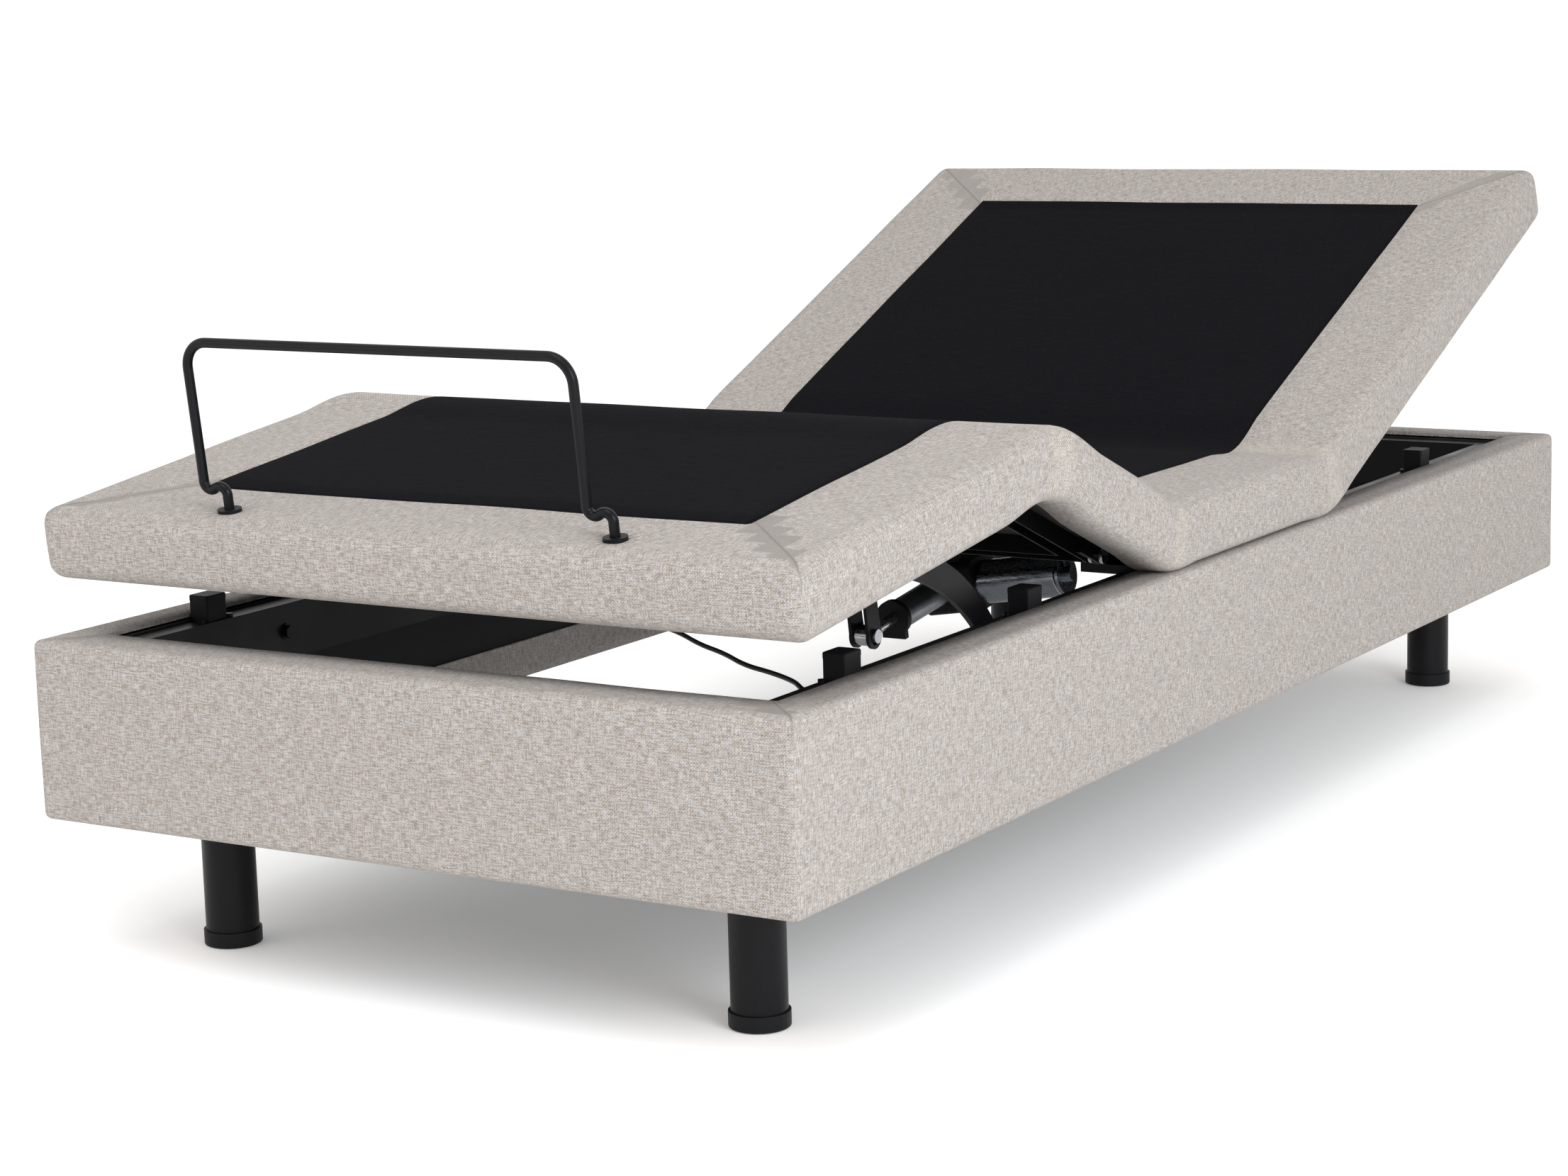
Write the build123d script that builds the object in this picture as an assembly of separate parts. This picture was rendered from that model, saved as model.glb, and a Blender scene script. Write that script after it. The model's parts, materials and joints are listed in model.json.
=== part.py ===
from build123d import *
import math
import os

# Adjustable single bed base: an upholstered open box on four legs with a four-section padded platform.
#
# Frame: +X to the right seen from the foot, +Y towards the head, +Z up, millimetres.
# The origin is on the floor under the middle of the box. The platform is modelled flat and then
# folded to its stored position: back raised, knees raised, lower legs sloping down to the foot.

os.makedirs("parts", exist_ok=True)

# Upholstered box
WIDTH = 900
LENGTH = 2000
BOX_BOTTOM = 147
RIM_TOP = 333
COVER = 4  # wadding and fabric
PANEL = 18  # side boards
SIDE_BATTEN = 28
END_BATTEN = 34
BATTEN_HEIGHT = 64
HEM = 40  # fabric turned in along the bottom edge
LINING = 1

# Steel rails on the inside of the rim
RAIL_WIDTH = 30
RAIL_HEIGHT = 60
RAIL_WALL = 2
RAIL_TOP = 325
POST_X = 385
POST_YS = (-805, -438, 655)
POST_SIZE = (25, 30, 22)
POST_CAP = 6

# Legs
LEG_X = 322
LEG_Y = 866
LEG_RADIUS = 27.5
LEG_WALL = 2
FOOT_RADIUS = 30
FOOT_HEIGHT = 16

# Platform sections, lying flat
PAD_BOTTOM = 334
PAD_TOP = 410
PAD_ROUND = 12
DECK_WIDTH = 860
DECK_BOTTOM = 355
DECK_THICK = 15
POCKET_HALF = 404  # half width of the recess under each pad
POCKET_END = 46
HINGE_Z = 346
BACK_Y = 226  # hinge lines, from head to foot
THIGH_Y = -208
KNEE_Y = -504
END_Y = LENGTH / 2
CREASE_GAP = 1  # each pad stops this far from its hinge line
BACK_LEAN = 31  # pad ends lean back, so they close up without touching
THIGH_LEAN = 19
KNEE_LEAN = 24

# Stored position
BACK_ANGLE = 22.5
THIGH_ANGLE = 23
CALF_SLOPE = 7

# Steel section frames under the decks
TUBE = 25
TUBE_HEIGHT = 20
TUBE_WALL = 1.6
FRAME_HALF = 350
HINGE_GAP = 14
EAR = 4
EAR_RADIUS = 8.7
PIN_RADIUS = 5
RUNNING = 0.05

# Linear actuators: rear pivot and rod pin, in the stored position
FOOT_PIVOT = (60, 52, 271)
FOOT_PIN = (60, -206, 236)
FOOT_CAP_END = 198
FOOT_ROD_START = 130
FOOT_ROLL = 9
HEAD_PIVOT = (-80, -95, 290)
HEAD_PIN_RADIUS = 72
HEAD_PIN_ANGLE = 7.5
HEAD_CAP_END = 260
HEAD_ROD_START = 118
ROD_RADIUS = 7
TUBE_RADIUS = 17.5
LEAD_RADIUS = 2.5
MOTOR_LEAD = [  # from the top of the gear case over the motor to the boss on its end plate
    (-24, 60, 28),
    (-24, 60, 41),
    (-36, 59, 45),
    (-61, 55, 43),
    (-87, 50, 38),
    (-113, 49, 37),
    (-138, 51, 31),
    (-158, 52, 22),
    (-158, 52, 5),
]
LUG_HALF = 7
FORK_INNER = 8

# Links that carry the lower-leg section
LINK_BASE = (-470, 302)
LINK_TIP_FLAT = (KNEE_Y - 170, HINGE_Z - 34)
LINK_X = (359, 365)
LINK_PIN = 6
LINK_HOLE = 9

# Mattress retainer bar
BAR_RADIUS = 5
BAR_HOLE_X = 229
BAR_SHIFT = 28
BAR_Y = -960
BAR_TOP = PAD_TOP + 168
SOCKET_RADIUS = 9
GROMMET_RADIUS = 12

# Handset cable between the control box and the rail
CABLE_RADIUS = 2.5
BOX_X = (-310, -200)
BOX_Y = (50, 200)
BOX_Z = (293, 335)
CABLE_EXIT = (-280, 38, 312)
CABLE_END = (366, -803, 309)
CABLE_ROUTE = [
    CABLE_EXIT,
    (-280, -2, 312),
    (-284, -60, 309),
    (-283, -122, 306),
    (-288, -185, 304),
    (-285, -245, 303),
    (-268, -300, 301),
    (-232, -343, 299),
    (-184, -378, 298),
    (-133, -420, 295),
    (-82, -456, 295),
    (-29, -498, 293),
    (27, -536, 295),
    (80, -579, 294),
    (134, -617, 296),
    (186, -661, 296),
    (240, -695, 299),
    (290, -735, 302),
    (322, -776, 306),
    (346, -803, 309),
    CABLE_END,
]


def block(x0, x1, y0, y1, z0, z1):
    """A box between two corners."""
    centre = ((x0 + x1) / 2, (y0 + y1) / 2, (z0 + z1) / 2)
    return Pos(*centre) * Box(abs(x1 - x0), abs(y1 - y0), abs(z1 - z0))


def rod_x(x0, x1, y, z, radius):
    """A cylinder along X."""
    return Pos((x0 + x1) / 2, y, z) * Rot(0, 90, 0) * Cylinder(radius, abs(x1 - x0))


def rod_y(y0, y1, x, z, radius):
    """A cylinder along Y."""
    return Pos(x, (y0 + y1) / 2, z) * Rot(90, 0, 0) * Cylinder(radius, abs(y1 - y0))


def post(x, y, z0, z1, radius):
    """An upright cylinder."""
    return Pos(x, y, (z0 + z1) / 2) * Cylinder(radius, z1 - z0)


def plate_x(points, x0, x1):
    """A flat plate across X with a straight-sided outline of (y, z) points."""
    outline = Polyline(*[(x0, y, z) for y, z in points], close=True)
    return extrude(make_face(outline), amount=x1 - x0, dir=(1, 0, 0))


def both_sides(solid):
    """The piece and its mirror image on the other side of the bed."""
    return [solid, mirror(solid, about=Plane.YZ)]


def fused(pieces):
    """One welded solid."""
    return pieces[0].fuse(*pieces[1:]).clean() if len(pieces) > 1 else pieces[0]


def pose_about(y, z, angle):
    """Turns about an axis along X through (y, z)."""
    return Pos(0, y, z) * Rot(angle, 0, 0) * Pos(0, -y, -z)


BACK_POSE = pose_about(BACK_Y, HINGE_Z, BACK_ANGLE)
THIGH_POSE = pose_about(THIGH_Y, HINGE_Z, -THIGH_ANGLE)
CALF_POSE = THIGH_POSE * pose_about(KNEE_Y, HINGE_Z, THIGH_ANGLE + CALF_SLOPE)


def turned(y, z, centre_y, centre_z, angle):
    """The point (y, z) turned about (centre_y, centre_z) by an angle about +X."""
    a = math.radians(angle)
    dy = y - centre_y
    dz = z - centre_z
    return (
        centre_y + dy * math.cos(a) - dz * math.sin(a),
        centre_z + dy * math.sin(a) + dz * math.cos(a),
    )


def save(name, shape, pose=None):
    """Writes one node, folded to its stored position if it has one."""
    parts = shape if isinstance(shape, list) else [shape]
    if pose is not None:
        parts = [pose * part for part in parts]
    solids = [solid for part in parts for solid in part.solids()]
    result = solids[0] if len(solids) == 1 else Compound(children=solids)
    result.label = name
    export_step(result, f"parts/{name}.step")
    print(f"{name}: {len(solids)} solid(s), {sum(s.volume for s in solids) / 1000:.1f} cm3")


# ---------------------------------------------------------------- upholstered box

HALF_W = WIDTH / 2
HALF_L = LENGTH / 2
PANEL_OUT_X = HALF_W - COVER
PANEL_IN_X = PANEL_OUT_X - PANEL
PANEL_OUT_Y = HALF_L - COVER
PANEL_IN_Y = PANEL_OUT_Y - PANEL
RIM_IN_X = PANEL_IN_X - SIDE_BATTEN
RIM_IN_Y = PANEL_IN_Y - END_BATTEN
WOOD_TOP = RIM_TOP - COVER
WOOD_BOTTOM = BOX_BOTTOM + COVER
BATTEN_BOTTOM = WOOD_TOP - BATTEN_HEIGHT
CORNER_BLOCK = (158, 112, 40)


def ring(half_x, half_y, inner_x, inner_y, z0, z1, corner):
    """An upright frame with rounded outer corners."""
    outer = extrude(RectangleRounded(2 * half_x, 2 * half_y, corner), z1 - z0)
    return Pos(0, 0, z0) * outer - block(-inner_x, inner_x, -inner_y, inner_y, z0 - 1, z1 + 1)


def base_upholstery():
    """The padded cover: outside wall, over the rim, and under and inside the bottom edge."""
    outside = ring(HALF_W, HALF_L, RIM_IN_X, RIM_IN_Y, BOX_BOTTOM, RIM_TOP, 16)
    top = outside.faces().sort_by(Axis.Z)[-1].outer_wire().edges()
    outside = fillet(top, 3.5)
    outside = fillet(outside.faces().sort_by(Axis.Z)[0].outer_wire().edges(), 3.5)
    wood = block(-PANEL_OUT_X, PANEL_OUT_X, -PANEL_OUT_Y, PANEL_OUT_Y, WOOD_BOTTOM, WOOD_TOP)
    turned_in = ring(
        PANEL_IN_X, PANEL_IN_Y, PANEL_IN_X - COVER, PANEL_IN_Y - COVER,
        WOOD_BOTTOM, WOOD_BOTTOM + HEM, 0.5,
    )
    opening = block(
        -PANEL_IN_X + COVER, PANEL_IN_X - COVER, -PANEL_IN_Y + COVER, PANEL_IN_Y - COVER,
        BOX_BOTTOM - 1, WOOD_BOTTOM + 1,
    )
    lip = ring(
        PANEL_IN_X, PANEL_IN_Y, PANEL_IN_X - COVER, PANEL_IN_Y - COVER,
        BOX_BOTTOM, WOOD_BOTTOM, 0.5,
    )
    corners = [
        block(sx * PANEL_IN_X, sx * (PANEL_IN_X - CORNER_BLOCK[0]),
              sy * PANEL_IN_Y, sy * (PANEL_IN_Y - CORNER_BLOCK[1]),
              WOOD_BOTTOM, WOOD_BOTTOM + HEM + 1)
        for sx in (-1, 1) for sy in (-1, 1)
    ]
    skin = outside - wood
    return fused([skin, lip, turned_in]) - opening - corners


def inner_lining():
    """Thin black cloth on the inside of the four boards, from the battens down to the hem."""
    z0 = WOOD_BOTTOM + HEM
    z1 = BATTEN_BOTTOM
    x1 = PANEL_IN_X
    y1 = PANEL_IN_Y
    sides = both_sides(block(x1 - LINING, x1, -y1, y1, z0, z1))
    ends = [
        block(-x1 + LINING, x1 - LINING, s * y1, s * (y1 - LINING), z0, z1) for s in (-1, 1)
    ]
    return sides + ends


def build_box():
    side = block(PANEL_IN_X, PANEL_OUT_X, -PANEL_OUT_Y, PANEL_OUT_Y, WOOD_BOTTOM, WOOD_TOP)
    end = block(-PANEL_IN_X, PANEL_IN_X, PANEL_IN_Y, PANEL_OUT_Y, WOOD_BOTTOM, WOOD_TOP)
    save("side_panel_right", side)
    save("side_panel_left", mirror(side, about=Plane.YZ))
    save("head_panel", end)
    save("foot_panel", mirror(end, about=Plane.XZ))
    side_batten = block(RIM_IN_X, PANEL_IN_X, -PANEL_IN_Y, PANEL_IN_Y, BATTEN_BOTTOM, WOOD_TOP)
    end_batten = block(-RIM_IN_X, RIM_IN_X, RIM_IN_Y, PANEL_IN_Y, BATTEN_BOTTOM, WOOD_TOP)
    save("rim_battens", both_sides(side_batten) + [end_batten, mirror(end_batten, about=Plane.XZ)])
    save("base_upholstery", base_upholstery())
    save("inner_lining", inner_lining())


# ---------------------------------------------------------------- rails, posts and legs

RAIL_OUT_X = RIM_IN_X
RAIL_IN_X = RAIL_OUT_X - RAIL_WIDTH
RAIL_OUT_Y = RIM_IN_Y
RAIL_IN_Y = RAIL_OUT_Y - RAIL_WIDTH
RAIL_BOTTOM = RAIL_TOP - RAIL_HEIGHT
SEAT_PADS_Y = (-165, 165)


def build_rails():
    side = block(RAIL_IN_X, RAIL_OUT_X, -RAIL_OUT_Y, RAIL_OUT_Y, RAIL_BOTTOM, RAIL_TOP)
    side -= block(RAIL_IN_X + RAIL_WALL, RAIL_OUT_X - RAIL_WALL, -RAIL_OUT_Y - 1, RAIL_OUT_Y + 1,
                  RAIL_BOTTOM + RAIL_WALL, RAIL_TOP - RAIL_WALL)
    end = block(-RAIL_IN_X, RAIL_IN_X, RAIL_IN_Y, RAIL_OUT_Y, RAIL_BOTTOM, RAIL_TOP)
    end -= block(-RAIL_IN_X - 1, RAIL_IN_X + 1, RAIL_IN_Y + RAIL_WALL, RAIL_OUT_Y - RAIL_WALL,
                 RAIL_BOTTOM + RAIL_WALL, RAIL_TOP - RAIL_WALL)
    cable_hole = rod_x(RAIL_IN_X - 1, RAIL_IN_X + RAIL_WALL + 1, CABLE_END[1], CABLE_END[2], 5)
    save("rail_right", side - cable_hole)
    save("rail_left", mirror(side, about=Plane.YZ))
    save("rail_head", end)
    save("rail_foot", mirror(end, about=Plane.XZ))
    posts = []
    caps = []
    for y in POST_YS:
        dx, dy, dz = POST_SIZE
        body = Pos(POST_X, y, RAIL_TOP + dz / 2) * Box(dx, dy, dz)
        cap = Pos(POST_X, y, RAIL_TOP + dz + POST_CAP / 2) * Box(dx + 1, dy + 1, POST_CAP)
        cap = fillet(cap.edges().filter_by(Axis.Z), 3)
        cap = chamfer(cap.faces().sort_by(Axis.Z)[-1].edges(), 1)
        posts += both_sides(fillet(body.edges().filter_by(Axis.Z), 2))
        caps += both_sides(cap)
    save("rail_posts", posts)
    save("post_caps", caps)
    seat_pads = []
    for y in SEAT_PADS_Y:
        bridge = block(FRAME_HALF - TUBE + 2, RAIL_OUT_X - 4, y - 30, y + 30, RAIL_TOP, PAD_BOTTOM + 1)
        seat_pads += both_sides(bridge)
    save("seat_brackets", seat_pads)


def hex_bolt_x(y, z):
    """A bolt through a rail, a batten and a board: hexagon head and washer on the rail's inner face."""
    washer = rod_x(RAIL_IN_X - 1.5, RAIL_IN_X, y, z, 9)
    head = Plane(origin=(RAIL_IN_X - 1.5, y, z), z_dir=(-1, 0, 0)) * RegularPolygon(7, 6)
    return fused([washer, extrude(head, 5)])


def build_bolts():
    bolts = []
    for y in (-700, -250, 250, 700):
        bolts += both_sides(hex_bolt_x(y, RAIL_TOP - RAIL_HEIGHT / 2))
    for y in POST_YS:
        for dy in (-1, 1):
            screw = post(RAIL_IN_X + 6, y + dy * (POST_SIZE[1] / 2 + 7), RAIL_TOP, RAIL_TOP + 4, 4)
            bolts += both_sides(screw)
    save("frame_bolts", bolts)


def build_legs():
    blocks = []
    caps = []
    for end_name, sy in (("foot", -1), ("head", 1)):
        for side_name, sx in (("left", -1), ("right", 1)):
            x = sx * LEG_X
            y = sy * LEG_Y
            tube = post(x, y, 4, WOOD_BOTTOM, LEG_RADIUS) - post(x, y, 3, WOOD_BOTTOM - 4, LEG_RADIUS - LEG_WALL)
            stud = post(x, y, WOOD_BOTTOM, WOOD_BOTTOM + 30, 5)
            save(f"leg_{end_name}_{side_name}", fused([tube, stud]))
            cap = post(x, y, 0, FOOT_HEIGHT, FOOT_RADIUS)
            cap = fillet(cap.edges().sort_by(Axis.Z)[0], 2)
            caps.append(cap - post(x, y, 4, FOOT_HEIGHT + 1, LEG_RADIUS))
            corner = block(
                sx * PANEL_IN_X, sx * (PANEL_IN_X - CORNER_BLOCK[0]),
                sy * PANEL_IN_Y, sy * (PANEL_IN_Y - CORNER_BLOCK[1]),
                WOOD_BOTTOM, WOOD_BOTTOM + CORNER_BLOCK[2],
            )
            blocks.append(corner - post(x, y, WOOD_BOTTOM - 1, WOOD_BOTTOM + 31, 5))
    save("corner_blocks", blocks)
    save("leg_caps", caps)


# ---------------------------------------------------------------- platform sections


def end_cut(y, keep, lean_above, lean_below):
    """What is cut away at a hinge line: keep is +1 where the section lies on the head side of it."""
    reach = 120
    low = PAD_BOTTOM - 10
    high = PAD_TOP + 10
    face = y + keep * CREASE_GAP
    below = face + keep * (HINGE_Z - low) * math.tan(math.radians(lean_below))
    above = face + keep * (high - HINGE_Z) * math.tan(math.radians(lean_above))
    outline = [
        (y - keep * reach, low), (below, low), (face, HINGE_Z), (above, high), (y - keep * reach, high),
    ]
    return plate_x(outline, -HALF_W - 10, HALF_W + 10)


def pad(y0, y1, cuts, deck_y, pocket_y):
    """A foam and fabric pad with a recess below and room for its deck board."""
    blank = block(-HALF_W, HALF_W, y0, y1, PAD_BOTTOM, PAD_TOP)
    blank = fillet(blank.edges().filter_by(Axis.Z), 22)
    blank = fillet(blank.faces().sort_by(Axis.Z)[-1].edges(), PAD_ROUND)
    blank = fillet(blank.faces().sort_by(Axis.Z)[0].edges(), PAD_ROUND)
    for cut in cuts:
        blank -= cut
    blank -= block(-DECK_WIDTH / 2, DECK_WIDTH / 2, *deck_y, DECK_BOTTOM, DECK_BOTTOM + DECK_THICK)
    return blank - block(-POCKET_HALF, POCKET_HALF, *pocket_y, PAD_BOTTOM - 1, DECK_BOTTOM)


def deck(y0, y1):
    """A deck board."""
    return block(-DECK_WIDTH / 2, DECK_WIDTH / 2, y0, y1, DECK_BOTTOM, DECK_BOTTOM + DECK_THICK)


def ladder(y0, y1, crosses):
    """A welded frame of channels open below: two sides and the cross members at the given middles."""
    z0 = DECK_BOTTOM - TUBE_HEIGHT
    z1 = DECK_BOTTOM
    w = TUBE_WALL
    half = TUBE / 2
    outer = both_sides(block(FRAME_HALF - TUBE, FRAME_HALF, y0, y1, z0, z1))
    inner = both_sides(block(FRAME_HALF - TUBE + w, FRAME_HALF - w, y0 + w, y1 - w, z0 - 1, z1 - w))
    for y in crosses:
        outer.append(block(-FRAME_HALF + half, FRAME_HALF - half, y - half, y + half, z0, z1))
        inner.append(block(-FRAME_HALF + half, FRAME_HALF - half, y - half + w, y + half - w, z0 - 1, z1 - w))
    return fused(outer) - fused(inner)


def fixed_ears(y, side):
    """Hinge ears that hold the pin, on the frame that lies on the given side of the hinge line."""
    x0 = FRAME_HALF
    arm = block(x0, x0 + EAR, y, y + side * 44, HINGE_Z - 8, HINGE_Z + 8)
    ear = fused([arm, rod_x(x0, x0 + EAR, y, HINGE_Z, EAR_RADIUS)])
    return both_sides(ear - rod_x(x0 - 1, x0 + EAR + 1, y, HINGE_Z, PIN_RADIUS))


def moving_ears(y, side):
    """Hinge ears that turn on the pin, spaced out past the fixed ones."""
    x0 = FRAME_HALF + EAR + 0.5
    arm = block(x0, x0 + EAR, y, y + side * 48, HINGE_Z - 8, HINGE_Z + 8)
    spacer = block(FRAME_HALF, x0, y + side * 24, y + side * 48, HINGE_Z - 8, HINGE_Z + 8)
    ear = fused([arm, rod_x(x0, x0 + EAR, y, HINGE_Z, EAR_RADIUS), spacer])
    return both_sides(ear - rod_x(x0 - 1, x0 + EAR + 1, y, HINGE_Z, PIN_RADIUS + RUNNING))


def hinge_pins(y):
    """A pair of headed pins through the ears."""
    x0 = FRAME_HALF
    x1 = FRAME_HALF + 2 * EAR + 1
    shank = rod_x(x0, x1, y, HINGE_Z, PIN_RADIUS)
    heads = [rod_x(x0 - 4, x0, y, HINGE_Z, 8), rod_x(x1, x1 + 4, y, HINGE_Z, 8)]
    return both_sides(fused([shank] + heads))


def lever(x, root_y, pin_y, pin_z, ear_radius, hole_radius, hole_shift):
    """Two lever plates under a cross member, with the eye that the actuator pushes."""
    dy = pin_y - root_y
    dz = pin_z - DECK_BOTTOM
    length = math.hypot(dy, dz)
    ny = -dz / length * (ear_radius - 1)
    nz = dy / length * (ear_radius - 1)
    top = DECK_BOTTOM - TUBE_WALL
    outline = [
        (root_y - TUBE / 2, top), (pin_y - abs(ny), pin_z - nz * math.copysign(1, ny)),
        (pin_y + abs(ny), pin_z + nz * math.copysign(1, ny)), (root_y + TUBE / 2, top),
    ]
    plates = []
    for sx in (-1, 1):
        x0 = x + sx * (FORK_INNER + 1)
        x1 = x + sx * (FORK_INNER + 1 + EAR)
        low_x, high_x = sorted((x0, x1))
        plate = fused([plate_x(outline, low_x, high_x), rod_x(low_x, high_x, pin_y, pin_z, ear_radius)])
        hole = rod_x(low_x - 1, high_x + 1, pin_y + hole_shift[0], pin_z + hole_shift[1], hole_radius)
        plates.append(plate - hole)
    return plates


def pivot_ears(pivot):
    """Two hangers from the seat frame that hold an actuator's rear pivot."""
    x, y, z = pivot
    ears = []
    for sx in (-1, 1):
        x0, x1 = sorted((x + sx * FORK_INNER, x + sx * (FORK_INNER + EAR)))
        hanger = block(x0, x1, y - 12, y + 12, z, DECK_BOTTOM - TUBE_WALL)
        ear = fused([hanger, rod_x(x0, x1, y, z, 12)])
        ears.append(ear - rod_x(x0 - 1, x1 + 1, y, z, PIN_RADIUS))
    return ears


HEAD_PIN = (
    HEAD_PIVOT[0],
    BACK_Y - HEAD_PIN_RADIUS * math.sin(math.radians(HEAD_PIN_ANGLE)),
    HINGE_Z - HEAD_PIN_RADIUS * math.cos(math.radians(HEAD_PIN_ANGLE)),
)


def build_seat():
    frame = [ladder(THIGH_Y + HINGE_GAP, BACK_Y - HINGE_GAP, (-180, -95, 52, 198))]
    frame += fixed_ears(BACK_Y, -1) + fixed_ears(THIGH_Y, 1)
    frame += pivot_ears(FOOT_PIVOT) + pivot_ears(HEAD_PIVOT)
    deck_y = (THIGH_Y + 17, BACK_Y - 17)
    cuts = [end_cut(BACK_Y, -1, BACK_LEAN, 0), end_cut(THIGH_Y, 1, THIGH_LEAN, 0)]
    save("seat_frame", fused(frame))
    save("seat_deck", deck(*deck_y))
    save("seat_pad", pad(THIGH_Y - 60, BACK_Y + 60, cuts, deck_y, (THIGH_Y - 70, BACK_Y + 70)))
    save("back_hinge_pins", hinge_pins(BACK_Y))
    save("thigh_hinge_pins", hinge_pins(THIGH_Y))


def build_back():
    root_y = BACK_Y + HINGE_GAP + TUBE / 2
    pin_y, pin_z = turned(HEAD_PIN[1], HEAD_PIN[2], BACK_Y, HINGE_Z, -BACK_ANGLE)
    frame = [ladder(BACK_Y + HINGE_GAP, END_Y - 60, (root_y, 590, END_Y - 60 - TUBE / 2))]
    frame += moving_ears(BACK_Y, 1)
    frame += lever(HEAD_PIN[0], root_y, pin_y, pin_z, 19, 12, turned(-1, -4, 0, 0, -BACK_ANGLE))
    deck_y = (BACK_Y + 17, END_Y - 15)
    cuts = [end_cut(BACK_Y, 1, BACK_LEAN, 0)]
    save("back_frame", fused(frame), BACK_POSE)
    save("back_deck", deck(*deck_y), BACK_POSE)
    pocket_y = (BACK_Y - 70, END_Y - POCKET_END)
    save("back_pad", pad(BACK_Y - 60, END_Y, cuts, deck_y, pocket_y), BACK_POSE)


def build_thigh():
    root_y = THIGH_Y - HINGE_GAP - TUBE / 2
    pin_y, pin_z = turned(FOOT_PIN[1], FOOT_PIN[2], THIGH_Y, HINGE_Z, THIGH_ANGLE)
    far_y = KNEE_Y + HINGE_GAP + TUBE / 2
    frame = [ladder(KNEE_Y + HINGE_GAP, THIGH_Y - HINGE_GAP, (root_y, far_y))]
    frame += moving_ears(THIGH_Y, -1) + fixed_ears(KNEE_Y, 1)
    frame += lever(FOOT_PIN[0], root_y, pin_y, pin_z, 15, 8.5, turned(0, -2, 0, 0, THIGH_ANGLE))
    deck_y = (KNEE_Y + 8, THIGH_Y - 17)
    cuts = [end_cut(THIGH_Y, -1, THIGH_LEAN, 0), end_cut(KNEE_Y, 1, 0, KNEE_LEAN)]
    save("thigh_frame", fused(frame), THIGH_POSE)
    save("thigh_deck", deck(*deck_y), THIGH_POSE)
    pocket_y = (KNEE_Y - 70, THIGH_Y + 70)
    save("thigh_pad", pad(KNEE_Y - 60, THIGH_Y + 60, cuts, deck_y, pocket_y), THIGH_POSE)
    save("knee_hinge_pins", hinge_pins(KNEE_Y), THIGH_POSE)


def link_brackets():
    """Ears under the lower-leg frame for the carrying links, with a loose hole for the link's stud."""
    y, z = LINK_TIP_FLAT
    x0 = FRAME_HALF
    hanger = block(x0, x0 + EAR, y - 14, y + 14, z, DECK_BOTTOM - 2)
    ear = fused([hanger, rod_x(x0, x0 + EAR, y, z, 14)])
    return both_sides(ear - rod_x(x0 - 1, x0 + EAR + 1, y, z, LINK_HOLE))


def build_calf():
    near_y = KNEE_Y - HINGE_GAP - TUBE / 2
    frame = [ladder(-END_Y + 28, KNEE_Y - HINGE_GAP, (near_y, -740, BAR_Y))]
    frame += moving_ears(KNEE_Y, -1) + link_brackets()
    deck_y = (-END_Y + 15, KNEE_Y - 8)
    bores = [post(sx * BAR_HOLE_X, BAR_Y, DECK_BOTTOM, PAD_TOP + 1, SOCKET_RADIUS) for sx in (-1, 1)]
    recesses = [
        post(sx * BAR_HOLE_X, BAR_Y, PAD_TOP - 7, PAD_TOP + 1, GROMMET_RADIUS) for sx in (-1, 1)
    ]
    cuts = [end_cut(KNEE_Y, -1, 0, KNEE_LEAN)]
    pocket_y = (-END_Y + 26, KNEE_Y + 70)
    save("calf_frame", fused(frame), CALF_POSE)
    save("calf_deck", deck(*deck_y) - bores, CALF_POSE)
    save("calf_pad", pad(-END_Y, KNEE_Y + 60, cuts, deck_y, pocket_y) - bores - recesses, CALF_POSE)
    sockets = [
        post(sx * BAR_HOLE_X, BAR_Y, DECK_BOTTOM, PAD_TOP - 7, SOCKET_RADIUS)
        - post(sx * BAR_HOLE_X, BAR_Y, DECK_BOTTOM + 2, PAD_TOP, BAR_RADIUS + RUNNING)
        for sx in (-1, 1)
    ]
    grommets = [
        post(sx * BAR_HOLE_X, BAR_Y, PAD_TOP - 7, PAD_TOP + 1.5, GROMMET_RADIUS)
        - post(sx * BAR_HOLE_X, BAR_Y, PAD_TOP - 8, PAD_TOP + 3, BAR_RADIUS + 0.4)
        for sx in (-1, 1)
    ]
    save("bar_sockets", sockets, CALF_POSE)
    save("bar_grommets", grommets, CALF_POSE)


def swept_rod(points, radii, radius):
    """A round rod or cable along straight runs joined by arcs."""
    path = FilletPolyline(*points, radius=radii)
    section = Plane(origin=path @ 0, z_dir=path % 0) * Circle(radius)
    return sweep(section, path=path), path.length


def route_radii(points):
    """One radius for each inner point: 0.45 of the shorter run over the tangent of half the turn."""
    radii = []
    for before, here, after in zip(points, points[1:], points[2:]):
        run_in = Vector(*here) - Vector(*before)
        run_out = Vector(*after) - Vector(*here)
        turn = math.radians(run_in.get_angle(run_out))
        radii.append(0.45 * min(run_in.length, run_out.length) / math.tan(turn / 2))
    return radii


def build_retainer_bar():
    foot_z = DECK_BOTTOM + 3
    left = -BAR_HOLE_X - BAR_SHIFT
    right = BAR_HOLE_X - BAR_SHIFT
    low = PAD_TOP + 12
    hump = PAD_TOP + 31
    points = [
        (-BAR_HOLE_X, BAR_Y, foot_z), (-BAR_HOLE_X, BAR_Y, hump), (left, BAR_Y, low),
        (left, BAR_Y, BAR_TOP), (right, BAR_Y, BAR_TOP), (right, BAR_Y, low),
        (BAR_HOLE_X, BAR_Y, hump), (BAR_HOLE_X, BAR_Y, foot_z),
    ]
    bar, _ = swept_rod(points, [8.5, 8.5, 26, 26, 8.5, 8.5], BAR_RADIUS)
    save("retainer_bar", bar, CALF_POSE)


# ---------------------------------------------------------------- links and actuators


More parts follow.
